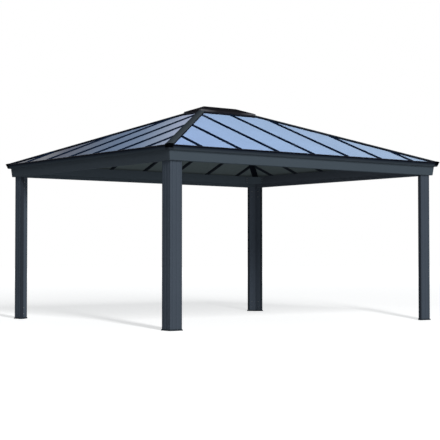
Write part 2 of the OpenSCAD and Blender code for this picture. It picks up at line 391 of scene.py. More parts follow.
def make_drift_group():
    """How far a place has gone from First to Last, as 0 to 1. Its measure is Plain . (x, y, z) +
    Folded . (|x|, |y|, |z|)."""
    group, given, out = new_group(
        "drift", {"Place": VECTOR, "Plain": VECTOR, "Folded": VECTOR, "First": NUMBER, "Last": NUMBER},
        {"Share": NUMBER})
    size = node(group, "ShaderNodeVectorMath", {0: given["Place"]}, operation="ABSOLUTE").outputs[0]
    parts = [node(group, "ShaderNodeVectorMath", {0: vector, 1: weights},
                  operation="DOT_PRODUCT").outputs["Value"]
             for vector, weights in ((given["Place"], given["Plain"]), (size, given["Folded"]))]
    share = remapped(group, math_node(group, "ADD", *parts), given["First"], given["Last"], 0.0, 1.0)
    group.links.new(share, out["Share"])
    return group


POWDER_COAT = make_powder_coat_group()
DRAW_LINES = make_draw_lines_group()
FLUTES = make_flutes_group()
DRIFT = make_drift_group()
NONE = (0, 0, 0)


def new_material(name, **constants):
    """A material with a Principled shader whose plain numbers are set on its own sockets."""
    material = bpy.data.materials.new(name)
    material.use_nodes = True
    tree = material.node_tree
    shader = tree.nodes["Principled BSDF"]
    for key, value in constants.items():
        shader.inputs[key.replace("_", " ")].default_value = value
    place = node(tree, "ShaderNodeTexCoord").outputs["Object"]
    return material, tree, shader, place


def placed(tree, group, **inputs):
    """The group in a material, with its inputs set or linked; underscores stand for spaces."""
    made = node(tree, "ShaderNodeGroup", None, node_tree=group)
    for key, value in inputs.items():
        socket = made.inputs[key.replace("_", " ")]
        if isinstance(value, bpy.types.NodeSocket):
            tree.links.new(value, socket)
        else:
            socket.default_value = value
    return made.outputs


def drifting(tree, place, tints, plain, folded):
    """A colour that changes with place, read from (measure, colour) pairs; see the drift group."""
    first, last = tints[0][0], tints[-1][0]
    share = placed(tree, DRIFT, Place=place, Plain=plain, Folded=folded, First=first, Last=last)["Share"]
    ramp = node(tree, "ShaderNodeValToRGB", {0: share})
    stops = ramp.color_ramp.elements
    stops[0].color = (*tints[0][1], 1)
    stops[1].color = (*tints[-1][1], 1)
    for where, colour in tints[1:-1]:
        stops.new((where - first) / (last - first)).color = (*colour, 1)
    return ramp.outputs["Color"]


def leg_end_shade_mask(tree, place):
    """1 on the cut ends of the posts' legs, which are furthest along a leg from the outer corner. It places
    painted shade there.
    """
    size = node(tree, "ShaderNodeVectorMath", {0: place}, operation="ABSOLUTE").outputs[0]
    split = node(tree, "ShaderNodeSeparateXYZ", {0: size}).outputs
    along = math_node(tree, "MAXIMUM", math_node(tree, "SUBTRACT", HALF_X, split["X"]),
                      math_node(tree, "SUBTRACT", HALF_Y, split["Y"]))
    return remapped(tree, along, LEG - 0.010, LEG - 0.003, 0.0, 1.0)


def painted(name, colour, rough, plain=NONE, folded=NONE, lines=None, shaded_leg_ends=None):
    """Powder coat or moulded plastic: tone change, orange peel and draw lines along the profile. The
    colour is one colour, or a list that drifts with place to paint light and shade; the leg-end colour is
    painted shade on the posts' cut ends."""
    material, tree, shader, place = new_material(name, Specular_IOR_Level=0.0)
    paint = drifting(tree, place, colour, plain, folded) if isinstance(colour, list) else (*colour, 1)
    if shaded_leg_ends:
        paint = mixed(tree, leg_end_shade_mask(tree, place), paint, (*shaded_leg_ends, 1))
    coat = placed(tree, POWDER_COAT, Place=place, Colour=paint, Tone_Change=0.16, Gloss_Level=rough,
                  Peel_Size=420.0)
    height = coat["Height"]
    if lines:
        drawn = placed(tree, DRAW_LINES, Place=place, Scales=lines)
        height = math_node(tree, "ADD", height, math_node(tree, "MULTIPLY", drawn["Height"], 1.4))
    bump = node(tree, "ShaderNodeBump", {"Strength": 0.25, "Distance": 0.0004, "Height": height})
    tree.links.new(coat["Colour"], shader.inputs["Base Color"])
    tree.links.new(coat["Roughness"], shader.inputs["Roughness"])
    tree.links.new(bump.outputs[0], shader.inputs["Normal"])
    return material


def sheeted(name, axis, under, tints, plain=NONE, folded=NONE):
    """Twin-wall roof sheet: tinted skin above and smoke-grey below, with its inner ribs as faint lines.
    The bright tint above is painted light and the dark grey below is painted shade, chosen by which way a
    face points. The tint drifts with place as a painted sky reflection across a wide slope."""
    material, tree, shader, place = new_material(name, Specular_IOR_Level=0.0)
    split = node(tree, "ShaderNodeSeparateXYZ", {0: place}).outputs
    flutes = placed(tree, FLUTES, Across=split[axis], Pitch=0.020, Line_Share=0.07)
    tint = drifting(tree, place, tints, plain, folded)
    blotches = noise(tree, place, 2.6, 3.0, 0.55)
    scale = remapped(tree, blotches, 0.1, 0.9, 0.92, 1.08)
    skin_tone = node(tree, "ShaderNodeVectorMath", {0: tint, 3: scale}, operation="SCALE")
    ribbed = mixed(tree, math_node(tree, "MULTIPLY", flutes["Line"], 0.30), skin_tone.outputs[0],
                   (0.09, 0.13, 0.22, 1))
    below = mixed(tree, math_node(tree, "MULTIPLY", flutes["Line"], 0.5), (*under, 1),
                  (*[c * 0.6 for c in under], 1))
    # Upward faces take the lit tint and downward faces the dark grey: painted light above, painted shade
    # below.
    up = node(tree, "ShaderNodeSeparateXYZ", {0: node(tree, "ShaderNodeNewGeometry").outputs["Normal"]})
    upper = remapped(tree, up.outputs["Z"], -0.05, 0.05, 0.0, 1.0)
    tree.links.new(mixed(tree, upper, below, ribbed), shader.inputs["Base Color"])
    tree.links.new(remapped(tree, blotches, 0.2, 0.8, 0.24, 0.34), shader.inputs["Roughness"])
    bump = node(tree, "ShaderNodeBump", {"Strength": 0.3, "Distance": 0.0006, "Height": flutes["Wave"]})
    tree.links.new(bump.outputs[0], shader.inputs["Normal"])
    return material


def grainy(name, colour, rough, scale, change, swing, bump=0.0, **constants):
    """Rubber or plated steel: a fine noise of the given scale in colour (change is its pair of factors),
    in roughness (by swing either way) and, where bump is given, in height."""
    material, tree, shader, place = new_material(name, **constants)
    grain = noise(tree, place, scale, 3.0 if bump else 2.0)
    dark, light = ((*[c * factor for c in colour], 1) for factor in change)
    tree.links.new(mixed(tree, grain, dark, light), shader.inputs["Base Color"])
    rough = remapped(tree, grain, 0.2, 0.8, rough - swing, rough + swing)
    tree.links.new(rough, shader.inputs["Roughness"])
    if bump:
        relief = node(tree, "ShaderNodeBump", {"Strength": bump, "Distance": 0.0003, "Height": grain})
        tree.links.new(relief.outputs[0], shader.inputs["Normal"])
    return material


# Tints are (measure in metres, colour) pairs; plain and folded weigh x, y and z in the measure.
ALONG_Z = (700.0, 700.0, 3.0)
# Painted shade on the edge trim: darkest at its top by the lip, lighter towards its toe.
TRIM_SHADE_TINTS = [(TRIM_TOE, (0.036, 0.046, 0.056)), (TRIM_TOE + 0.020, (0.026, 0.034, 0.043)),
              (EAVE_Z, (0.010, 0.014, 0.023))]
# Painted light and shade on the short sides' beams: lighter on the inner face, darker on the outer face.
BEAM_SHADE_TINTS = [(HALF_X - WALL - 0.004, (0.062, 0.074, 0.092)), (HALF_X - 0.012, (0.046, 0.057, 0.069))]
# Painted light and shade on the hip caps: the wing on a long side's slope lighter, the wing on a short
# side's slope darker.
HIP_SHADE_TINTS = [(RIDGE_X - 0.045, (0.062, 0.075, 0.085)), (RIDGE_X + 0.045, (0.042, 0.052, 0.064))]
# Painted shade on the corner caps: near-black at the top, lighter towards the toe in the trim's shaded tone.
CORNER_CAP_SHADE_TINTS = [(TRIM_TOE, (0.026, 0.033, 0.041)), (TRIM_TOE + 0.022, (0.018, 0.022, 0.028)),
             (EAVE_Z - 0.018, (0.0015, 0.0018, 0.0025))]
# Painted highlight on the ridge cap: near-black in the middle, lighter towards its ends.
RIDGE_END = RIDGE_X + 5 * CAP_REACH
RIDGE_HIGHLIGHT_TINTS = [(RIDGE_END - 0.30, (0.016, 0.015, 0.018)), (RIDGE_END - 0.02, (0.110, 0.107, 0.115))]
# The darker leg-end colour on the posts is painted shade.
post_paint = painted("post_paint", (0.053, 0.066, 0.085), 0.42, lines=ALONG_Z,
                     shaded_leg_ends=(0.023, 0.028, 0.036))
foot_paint = painted("foot_paint", (0.028, 0.035, 0.044), 0.5)
beam_paint = painted("beam_paint", (0.052, 0.067, 0.082), 0.42)
side_beam_shaded_paint = painted("side_beam_shaded_paint", BEAM_SHADE_TINTS, 0.42, folded=(1, 0, 0))
trim_shaded_paint = painted("trim_shaded_paint", TRIM_SHADE_TINTS, 0.42, plain=(0, 0, 1))
roof_paint = painted("roof_paint", (0.010, 0.013, 0.018), 0.5)
# A darker copy of the rafter paint for the hip rafters, as painted shade.
hip_rafter_shaded_paint = painted("hip_rafter_shaded_paint", (0.004, 0.005, 0.008), 0.5)
bar_paint = painted("bar_paint", (0.005, 0.012, 0.030), 0.4)
hip_shaded_paint = painted("hip_shaded_paint", HIP_SHADE_TINTS, 0.42, folded=(1, -1, 0))
ridge_highlight_paint = painted("ridge_highlight_paint", RIDGE_HIGHLIGHT_TINTS, 0.4, folded=(1, 4, 0))
corner_cap_shaded_plastic = painted("corner_cap_shaded_plastic", CORNER_CAP_SHADE_TINTS, 0.5, plain=(0, 0, 1))
seal_rubber = grainy("seal_rubber", (0.0020, 0.0030, 0.0065), 0.7, 260.0, (0.8, 1.3), 0.06, bump=0.3,
                     Specular_IOR_Level=0.02)
bolt_steel = grainy("bolt_steel", (0.16, 0.17, 0.18), 0.45, 900.0, (0.8, 1.0), 0.08, Metallic=0.85)
# The sheets' underside grey is painted shade.
SHEET_UNDER_SHADE = (0.074, 0.093, 0.098)
# The short slopes' tints are darker than the long slopes' as painted shade, and both drift as painted sky
# reflection.
LONG_LIT_TINTS = [(-2.2, (0.400, 0.560, 0.900)), (0.0, (0.448, 0.618, 0.915)), (2.2, (0.500, 0.655, 0.890))]
SHORT_SHADED_TINTS = [(0.55, (0.580, 0.650, 0.860)), (0.74, (0.450, 0.530, 0.695)), (1.04, (0.300, 0.390, 0.556)),
               (1.44, (0.240, 0.318, 0.465)), (1.84, (0.235, 0.280, 0.370)), (2.24, (0.225, 0.238, 0.298)),
               (2.55, (0.370, 0.378, 0.405))]
sheet_long_lit = sheeted("sheet_long_lit", "X", SHEET_UNDER_SHADE, LONG_LIT_TINTS, plain=(1, 0, 0))
sheet_short_shaded = sheeted("sheet_short_shaded", "Y", SHEET_UNDER_SHADE, SHORT_SHADED_TINTS, plain=(0, 0.607, 0),
                      folded=(0.795, 0, 0))


# ---------------- posts and feet
def to_corner(corner, rings):
    """Mirrors points given at the back right corner, measured from the outer corner of the post."""
    sign_x, sign_y = CORNERS[corner]
    return (rings + [HALF_X, HALF_Y, 0.0]) * [sign_x, sign_y, 1.0]


def lifted(outline, z):
    """A plan outline (n, 2) at the height z, as (n, 3)."""
    return np.column_stack([outline, np.full(len(outline), z)])


def leg_outline():
    """L of two legs seen from above, with shallow grooves down both outer faces: each groove is four
    corners, at its place along the leg plus (-w/2, -w/2 + e, w/2 - e, w/2), sunk by (0, d, d, 0)."""
    half_width, depth_in, ease = 0.004, 0.0035, 0.0005
    places = np.array([0.030, 0.090, 0.150])
    step = np.array([-half_width, -half_width + ease, half_width - ease, half_width])
    sunk = np.array([0, depth_in, depth_in, 0])
    along = (places[:, None] + step).ravel()
    depth = np.tile(sunk, len(places))
    back_face = np.column_stack([-along, -depth])
    right_face = np.column_stack([-depth, -along])[::-1]
    legs = [[-LEG, 0], [-LEG, -WALL], [-WALL, -WALL], [-WALL, -LEG], [0, -LEG]]
    corners = np.vstack([[[0, 0]], back_face, legs, right_face])
    small = np.full(len(along), 0.0004)
    radii = np.concatenate([[0.0025], small, [0.003, 0.003, 0.006, 0.003, 0.003], small])
    return rounded(corners, radii, 3)


def make_post(corner):
    """Angle-section post from the foot plate to the underside of the beams."""
    outline = leg_outline()
    rings = np.stack([lifted(outline, z) for z in (PLATE, HEADROOM)])
    piece("post_profile_" + corner, skin(to_corner(corner, rings)), post_paint,
          ["post_" + corner])


def boot_outline(flare, radius):
    """L outline that stands out from the post by flare on its outer faces and leg ends."""
    pad = LEG + flare
    inside = WALL + flare * 0.4
    corners = [[flare, flare], [-pad, flare], [-pad, -inside], [-inside, -inside], [-inside, -pad],
               [flare, -pad]]
    return rounded(corners, radius, 4)


def make_foot(corner):
    """Anchor plate with a hole, as a ring between the hole's circle and the plate's edge (for each
    angle, the nearest of the edge lines c / cos(angle - direction)), and a flared boot round the post."""
    inset = WALL + ANCHOR_INSET
    corners = np.array([[FLARE, FLARE], [-LEG - FLARE, FLARE], [-LEG - FLARE, -WALL], [-WALL, -LEG - FLARE],
                        [FLARE, -LEG - FLARE]]) + inset
    sides = np.roll(corners, -1, axis=0) - corners
    normals = np.column_stack([-sides[:, 1], sides[:, 0]]) / np.linalg.norm(sides, axis=1)[:, None]
    normals *= np.sign((normals * corners).sum(axis=1))[:, None]
    distance = (normals * corners).sum(axis=1)
    direction = np.arctan2(normals[:, 1], normals[:, 0])
    angles = np.sort(np.concatenate([np.arctan2(corners[:, 1], corners[:, 0]),
                                     np.linspace(-math.pi, math.pi, 48, endpoint=False)]))
    reach = np.cos(angles[:, None] - direction)
    faced = 1e-3
    edge = np.where(reach > faced, distance / np.maximum(reach, faced), np.inf).min(axis=1)
    ease = 0.0012
    radii = np.stack([0 * edge + ANCHOR_R, 0 * edge + ANCHOR_R, 0 * edge + ANCHOR_R + ease, edge - ease,
                      edge, edge])
    heights = np.array([0.0, PLATE - ease, PLATE, PLATE, PLATE - ease, 0.0])[:, None] + 0 * edge
    rings = np.stack([radii * np.cos(angles), radii * np.sin(angles), heights], axis=-1)
    plate = skin(to_corner(corner, rings + [-inset, -inset, 0.0]), loop=True)
    bottom = PLATE * 0.5
    profile = [(-0.001, bottom), (FLARE, bottom), (FLARE, COLLAR * 0.72), (FLARE * 0.8, COLLAR * 0.84),
               (FLARE * 0.45, COLLAR * 0.93), (0.001, COLLAR), (-0.001, COLLAR)]
    boot_rings = np.stack([lifted(boot_outline(flare, 0.007), z) for flare, z in profile])
    boot = skin(to_corner(corner, boot_rings), loop=True)
    piece("foot_casting_" + corner, joined([plate, boot]), foot_paint, ["foot_" + corner])


# ---------------- beams, brackets and trim
def mitred_bar(side, profile, cut_back):
    """A profile (out, z) carried along a side; each of its points ends at the 45 degree mitre line,
    along = half length + out - cut_back."""
    outs, heights = profile.T
    half = HALF_X if is_long(side) else HALF_Y
    across = (HALF_Y if is_long(side) else HALF_X) + outs
    ends = np.array([-1.0, 1.0])[:, None] * (half + outs - cut_back)
    return skin(to_side(side, ends, across[None, :], heights[None, :]))


def plane_z(out, lift):
    """Height of the roof at a distance out from the posts: eave height + slope * (edge - out) + lift."""
    return EAVE_Z + SLOPE * (EAVE_OUT - out) + lift


def make_beam(side):
    """Fascia profile: leaning outer face with a rounded nose, and two grooves low on the inner face."""
    groove = 0.006
    lows = HEADROOM + np.array([0.052, 0.044, 0.030, 0.022])
    inner = np.array([[-WALL, lows[0]], [-WALL + groove, lows[0] - 0.001], [-WALL + groove, lows[1] + 0.001],
                      [-WALL, lows[1]], [-WALL, lows[2]], [-WALL + groove, lows[2] - 0.001],
                      [-WALL + groove, lows[3] + 0.001], [-WALL, lows[3]]])
    nose = np.array([[-WALL, HEADROOM], [FASCIA_OUT, HEADROOM], [FASCIA_TOP_OUT, TRIM_TOE],
                     [FASCIA_TOP_OUT, plane_z(FASCIA_TOP_OUT, FRAME_LIFT)],
                     [-WALL, plane_z(-WALL, FRAME_LIFT)]])
    radii = np.concatenate([[0.003, 0.005, 0.002, 0.0005, 0.0005], np.full(len(inner), 0.0008)])
    outline = rounded(np.vstack([nose, inner]), radii, 4)
    # The short sides' beams take a copy of the beam paint with painted light inside and painted shade
    # outside.
    paint = beam_paint if is_long(side) else side_beam_shaded_paint
    piece("fascia_" + side, mitred_bar(side, outline, MITRE_GAP), paint, ["beam_" + side])


def make_bracket(corner):
    """Plate folded twice at 45 degrees across a beam corner, its bends rounded inside and out."""
    arm, thick = BRACKET_ARM, BRACKET_PLATE
    inner = arm - BRACKET_FLANGE
    fold = inner + thick * (DIAGONAL - 1)
    corners = np.array([[-inner, 0], [-arm, 0], [-arm, -thick], [-fold, -thick], [-thick, -fold],
                        [-thick, -arm], [0, -arm], [0, -inner]]) - WALL
    outline = rounded(corners, [0.008, 0.001, 0.001, 0.004, 0.004, 0.001, 0.001, 0.008], 5)
    ease, drawn_in = 0.002, 0.9995
    levels = [(bracket_low.z, drawn_in), (bracket_low.z + ease, 1.0), (bracket_high.z - ease, 1.0),
              (bracket_high.z, drawn_in)]
    middle = outline.mean(axis=0)
    rings = np.stack([lifted(middle + (outline - middle) * size, z) for z, size in levels])
    piece("corner_plate_" + corner, skin(to_corner(corner, rings)), beam_paint,
          ["corner_bracket_" + corner])


def from_tip(up_slope, square):
    """(out, z) of points measured from the top outer corner of the trim, up the slope and square to it."""
    up_slope, square = np.asarray(up_slope), np.asarray(square)
    out = EAVE_OUT - up_slope * math.cos(PITCH) + square * math.sin(PITCH)
    return out, EAVE_Z + LIP_RISE + up_slope * math.sin(PITCH) + square * math.cos(PITCH)


TRIM_CUT = CORNER_CAP_W / 2 * DIAGONAL
LIP_SQUARE = LIP_RISE * math.cos(PITCH)


def make_trim(side):
    """Folded edge trim: a wall square to the slope, a lip on the panels with a hem, a drip fold at the
    toe and a flange back to the fascia."""
    sheet = 0.0035
    ups = np.array([0, LIP, LIP, LIP - sheet * 1.2, LIP - sheet * 1.2, sheet, sheet])
    squares = np.array([0, 0, -0.008, -0.008, -sheet, -sheet, -TRIM_H + sheet * 1.4])
    out, z = from_tip(ups, squares)
    toe_out, toe_z = from_tip(0.0, -TRIM_H)
    corners = np.vstack([np.column_stack([out, z]), [[FASCIA_TOP_OUT + 0.0005, TRIM_TOE + sheet]],
                         [[FASCIA_TOP_OUT + 0.0005, TRIM_TOE]], [[float(toe_out), float(toe_z)]]])
    radii = [0.004, 0.003, 0.0015, 0.001, 0.001, 0.002, 0.001, 0.0008, 0.0008, 0.003]
    outline = rounded(corners, radii, 4)
    bar = mitred_bar(side, outline, TRIM_CUT + CAP_GAP)
    # The trim's paint darkens towards the top as painted shade.
    piece("trim_profile_" + side, bar, trim_shaded_paint, ["edge_trim_" + side])


def make_trim_seals():
    """Rubber on the trim, one strip a side each: under the lip, and a bead over its nose and top."""
    under = ([0.012, 0.0325, 0.0325, 0.0285, 0.0285, 0.012],
             [-0.0045, -0.0075, -LIP_SQUARE + 0.0002, -LIP_SQUARE + 0.0002, -0.010, -0.010])
    bead = ([-0.0012, LIP - 0.002, LIP - 0.002, 0.0, 0.0, -0.0012],
            [0.0012, 0.0012, -0.0001, -0.0001, -0.014, -0.014])
    shapes = []
    for ups, squares in (under, bead):
        out, z = from_tip(ups, squares)
        outline = rounded(np.column_stack([out, z]), 0.0005, 3)
        shapes += [mitred_bar(side, outline, TRIM_CUT) for side in SIDES]
    piece("trim_seals", joined(shapes), seal_rubber)


def make_corner_cap(corner):
    """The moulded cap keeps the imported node's shape: its triangles are merged and its edges rounded."""
    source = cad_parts["corner_cap_" + corner].data
    points = np.empty(len(source.vertices) * 3)
    source.vertices.foreach_get("co", points)
    faces = [list(polygon.vertices) for polygon in source.polygons]
    # The cap's colour darkens towards the top as painted shade.
    made = piece("corner_moulding_" + corner, (points.reshape(-1, 3), faces), corner_cap_shaded_plastic,
                 ["corner_cap_" + corner], bevel=0.0025)
    clean(made.data, 2e-5, math.radians(1))


# ---------------- roof
def hip_bar(corner, profile, travel_start, travel_end):
    """A profile (aside, lift) carried down a hip, with pointed ends: travel = end - |aside|."""
    asides, lifts = profile.T
    travel = np.stack([travel_start - np.abs(asides), travel_end - np.abs(asides)])
    return skin(on_hip(corner, travel, asides[None, :], lifts[None, :]))


def cross_bar(side, place, profile, hip_gap, ridge_gap, run_end):
    """A profile (offset, lift) carried down a slope at a place along it; each point starts at the hip
    line or the ridge, run = max(ridge gap, |along| - ridge half + hip gap * sqrt 2)."""
    offsets, lifts = profile.T
    along = place + offsets
    start = np.maximum(ridge_gap, np.abs(along) - ridge_half(side) + hip_gap * DIAGONAL)
    run = np.stack([start, np.full(len(offsets), run_end)])
    return skin(on_roof(side, along[None, :], run, lifts[None, :]))


def make_rafters(side):
    """Rafters: a flange under the panels, a slimmer web with rounded lower corners, and a groove."""
    half = RAFTER_W / 2
    low = FRAME_LIFT
    web = half - 0.004
    corners = [[half, -PANEL_T], [-half, -PANEL_T], [-half, -PANEL_T - 0.005], [-web, -PANEL_T - 0.007],
               [-web, low], [-0.004, low], [-0.004, low + 0.003], [0.004, low + 0.003], [0.004, low],
               [web, low], [web, -PANEL_T - 0.007], [half, -PANEL_T - 0.005]]
    outline = rounded(corners, [0.001] * 4 + [0.004] + [0.0006] * 4 + [0.004] + [0.001] * 2, 3)
    shapes = [cross_bar(side, place, outline, HIP_W / 2, HIP_W / 2, FRAME_RUN)
              for place in rafter_places(side)]
    piece("rafter_profiles_" + side, joined(shapes), roof_paint, ["rafters_" + side])


def make_hip_rafter(corner):
    """Hip rafter: a box with a groove below, its top and bottom creased along the hip."""
    half = HIP_W / 2
    low = FRAME_LIFT
    corners = [[half, -PANEL_T], [-half, -PANEL_T], [-half, low], [-0.012, low], [-0.012, low + 0.004],
               [0.012, low + 0.004], [0.012, low], [half, low]]
    radii = [0.001, 0.001, 0.005] + [0.001] * 4 + [0.005]
    outline = creased(rounded(corners, radii, 3))
    bar = hip_bar(corner, outline, DIAGONAL * HIP_W / 2, DIAGONAL * FRAME_RUN)
    piece("hip_profile_" + corner, bar, hip_rafter_shaded_paint, ["hip_rafter_" + corner])


def round_ridge(section, radii, steps=3):
    """A section (reach, lift) carried round the ridge as one closed surface of rectangles, with corners
    at (ridge half + reach, reach) and z = ridge height - slope * reach + lift."""
    reach, lift = rounded(section, radii, steps).T[:, :, None]
    reach = np.maximum(reach, 0)
    x = np.array([1, -1, -1, 1]) * (RIDGE_X + reach)
    y = np.array([1, 1, -1, -1]) * reach
    return skin(np.stack([x, y, RIDGE_Z - SLOPE * reach + lift + 0 * x], axis=-1), loop=True)


def make_ridge_beam():
    """Ridge beam: a hipped block as deep as the rafters, with a rounded lower edge."""
    half = HIP_W / 2
    section = [[0, -PANEL_T], [half, -PANEL_T], [half, FRAME_LIFT], [0, FRAME_LIFT]]
    piece("ridge_profile", round_ridge(section, [1e-5, 0.001, 0.005, 1e-5]), roof_paint,
          ["ridge_beam"])


def make_ridge_cap():
    """Hipped cap: flat slopes with a rolled rim, a skirt, and a recess under it that stands on the panels.
    A black rubber apron runs round its foot."""
    reach, rise = CAP_REACH, CAP_RISE
    skirt, recess = reach - 0.004, reach - 0.016
    section = [[0, rise], [reach, rise], [reach, 0.010], [skirt, 0.010], [skirt, rise - 0.006],
               [recess, rise - 0.006], [recess, CLOSE_FIT], [0, CLOSE_FIT]]
    shell = round_ridge(section, [1e-5, 0.006, 0.001, 0.001, 0.001, 0.002, 0.001, 1e-5], 4)
    # The cap's lighter ends are a painted highlight.
    piece("ridge_cap_shell", shell, ridge_highlight_paint, ["ridge_cap"])
    inner, outer = reach + CAP_GAP, reach + 0.055
    return [round_ridge([[inner, CAP_GAP], [outer, CAP_GAP], [outer, 0.016], [inner, 0.020]], 0.002)]


def make_hip_cap(corner):
    """Folded plate over the hip on two black rubber seals that fill the height under its wings."""
    half = HIP_CAP_W / 2
    rise, rim = HIP_CAP_RISE, 0.003
    foot = half - 0.020
    corners = [[half, rise], [-half, rise], [-half, rise - rim], [-foot, rise - rim], [-foot, CLOSE_FIT],
               [foot, CLOSE_FIT], [foot, rise - rim], [half, rise - rim]]
    radii = [0.0015, 0.0015, 0.0012] + [0.0008] * 4 + [0.0012]
    outline = creased(rounded(corners, radii, 3))
    ends = (DIAGONAL * CAP_REACH, DIAGONAL * PANEL_RUN)
    # The wings' two tones are painted light and shade.
    piece("hip_cap_shell_" + corner, hip_bar(corner, outline, *ends), hip_shaded_paint,
          ["hip_cap_" + corner])
    top = rise - rim - 0.0002
    outer, inner = half - 0.0006, half - 0.018
    strip = rounded([[outer, CLOSE_FIT], [outer, top], [inner, top], [inner, CLOSE_FIT]], 0.0012, 3)
    return [hip_bar(corner, strip * [sign, 1], *ends) for sign in (1, -1)]


def make_bars(side):
    """Snap-on glazing bars: a square-shouldered cap with a shallow middle channel, on two rubber lips."""
    half = BAR_W / 2 - 0.001
    foot = half - 0.006
    base, channel = 0.0025, BAR_RISE - 0.0012
    corners = [[half, base], [half, BAR_RISE], [0.0095, BAR_RISE], [0.0080, channel], [-0.0080, channel],
               [-0.0095, BAR_RISE], [-half, BAR_RISE], [-half, base], [-foot, base], [-foot, CLOSE_FIT],
               [foot, CLOSE_FIT], [foot, base]]
    radii = [0.0008, 0.003, 0.001, 0.0006, 0.0006, 0.001, 0.003, 0.0008] + [0.0004] * 4
    outline = rounded(corners, radii, 3)
    ends = (HIP_CAP_W / 2, CAP_REACH, HALF_Y + float(from_tip(LIP, 0.0)[0]))
    shapes = [cross_bar(side, place, outline, *ends) for place in rafter_places(side)]
    piece("bar_caps_" + side, joined(shapes), bar_paint, ["glazing_bars_" + side])
    edge = BAR_W / 2
    lip = rounded([[edge, 0.0002], [edge, 0.0014], [half - 0.001, base - 0.0002], [foot, base - 0.0002],
                   [foot, 0.0002]], 0.0003, 2)
    return [cross_bar(side, place, lip * [sign, 1], *ends)
            for place in rafter_places(side) for sign in (1, -1)]


def panel_shape(side, low, high):
    """One sheet between two places along a side. For each run the sheet reaches from max(low, -limit) to
    min(high, limit), limit = ridge half + run - gap * sqrt 2; rows of points lie at the runs where an
    edge turns and every 0.3 m between them. Top and bottom rows make closed rings round the sheet."""
    gap = PANEL_GAP / 2 * DIAGONAL
    half = ridge_half(side)
    nearest = max(low, -high, 0)
    first = max(PANEL_GAP / 2, gap - half, (nearest - half + gap) if nearest else 0)
    least = 1e-4
    turns = [run for run in (abs(low) - half + gap, abs(high) - half + gap)
             if first + least < run < PANEL_RUN - least]
    marks = np.array(sorted([first, *turns, PANEL_RUN]))
    runs = np.unique(np.concatenate([np.linspace(a, b, max(2, int((b - a) / 0.3) + 2))
                                     for a, b in zip(marks[:-1], marks[1:])]))
    limit = half + runs - gap
    left = np.maximum(low, -limit)
    right = np.minimum(high, limit)
    right = np.maximum(right, left + 1e-5)
    across = np.linspace(0, 1, 7)
    along = left[:, None] + (right - left)[:, None] * across
    along = np.hstack([along, along[:, ::-1]])
    ease = 0.0008
    lift = np.concatenate([np.full(len(across), 0.0), np.full(len(across), -PANEL_T)])
    lift[[0, len(across) - 1]] -= ease
    return skin(on_roof(side, along, runs[:, None], lift[None, :]))


def make_panels(side):
    """The sheets of a side, between the joints under the glazing bars."""
    places = rafter_places(side)
    half = ridge_half(side) + PANEL_RUN
    lows = np.concatenate([[-half], places + PANEL_GAP / 2])
    highs = np.concatenate([places - PANEL_GAP / 2, [half]])
    shapes = [panel_shape(side, low, high) for low, high in zip(lows, highs)]
    # The short slopes take the darker sheet material, which is painted shade.
    piece("sheets_" + side, joined(shapes), sheet_long_lit if is_long(side) else sheet_short_shaded,
          ["panels_" + side])


# ---------------- fasteners
def turned(profile, sides, hexed=0):
    """A profile of (radius, height) carried round Z; the first hexed rings are six-sided, with the
    radius r * cos 30 / cos(angle within the flat)."""
    angle = np.linspace(0, 2 * math.pi, sides, endpoint=False)
    flat = math.cos(math.radians(30)) / np.cos((angle % (math.pi / 3)) - math.pi / 6)
    radius = np.array(profile)[:, :1] * np.where(np.arange(len(profile))[:, None] < hexed, flat, 1.0)
    z = np.array(profile)[:, 1:] + 0 * angle
    return skin(np.stack([radius * np.cos(angle), radius * np.sin(angle), z], axis=-1))


def screw_shape():
    """Pan-head screw on a bonded washer, 17 mm over the washer."""
    return turned([(0.0012, 0.0030), (0.0016, 0.0042), (0.0036, 0.0040), (0.0050, 0.0030),
                   (0.0053, 0.0017), (0.0080, 0.0015), (0.0085, 0.0004), (0.0085, -0.0004)], 12)


def bolt_shape():
    """M8 hexagon head with a chamfer on a washer."""
    return turned([(0.0058, 0.0072), (0.0070, 0.0066), (0.0075, 0.0058), (0.0075, 0.0016),
                   (0.0086, 0.0016), (0.0088, 0.0008), (0.0088, -0.0004)], 24, hexed=4)


def fasten(name, shape, spots, normals, material):
    """A fastener on every spot, standing along its normal; spots and normals are lists of arrays."""
    axes = standing_axes(np.concatenate(normals))
    piece(name, repeated(shape, np.concatenate(spots), axes), material)


def facing(normal, spots):
    """The same normal for each of the spots."""
    return np.tile(normal, (len(spots), 1))


def make_bar_screws():
    """Screws down the middle of every glazing bar, evenly spaced from the trim up."""
    for side in SIDES:
        spots = []
        for place in rafter_places(side):
            start = max(CAP_REACH, abs(place) - ridge_half(side) + HIP_CAP_W / 2 * DIAGONAL)
            run = np.arange(PANEL_RUN - 0.07, start + 0.06, -SCREW_STEP)
            spots.append(on_roof(side, place, run, BAR_RISE - 0.0012))
        normals = [facing(slope_normal(side), some) for some in spots]
        fasten("bar_screws_" + side, screw_shape(), spots, normals, bar_paint)


def make_cap_screws():
    """Screws in two rows on each hip cap and round the ridge cap, along their wings."""
    spots, normals = [], []
    travel = np.arange(DIAGONAL * CAP_REACH + 0.10, DIAGONAL * PANEL_RUN - 0.08, CAP_SCREW_STEP)
    for corner in CORNERS:
        depth, hand = corner.split("_")
        for aside, side in ((CAP_SCREW_ASIDE, hand), (-CAP_SCREW_ASIDE, depth)):
            spots.append(on_hip(corner, travel, aside, HIP_CAP_RISE))
            normals.append(facing(slope_normal(side), travel))
    fasten("hip_cap_screws", screw_shape(), spots, normals, hip_shaded_paint)
    spots, normals = [], []
    for side in SIDES:
        half = ridge_half(side) + CAP_REACH - 0.09
        along = np.linspace(-half, half, 4 if is_long(side) else 2)
        spots.append(on_roof(side, along, CAP_REACH - 0.035, CAP_RISE))
        normals.append(facing(slope_normal(side), along))
    fasten("ridge_cap_screws", screw_shape(), spots, normals, ridge_highlight_paint)


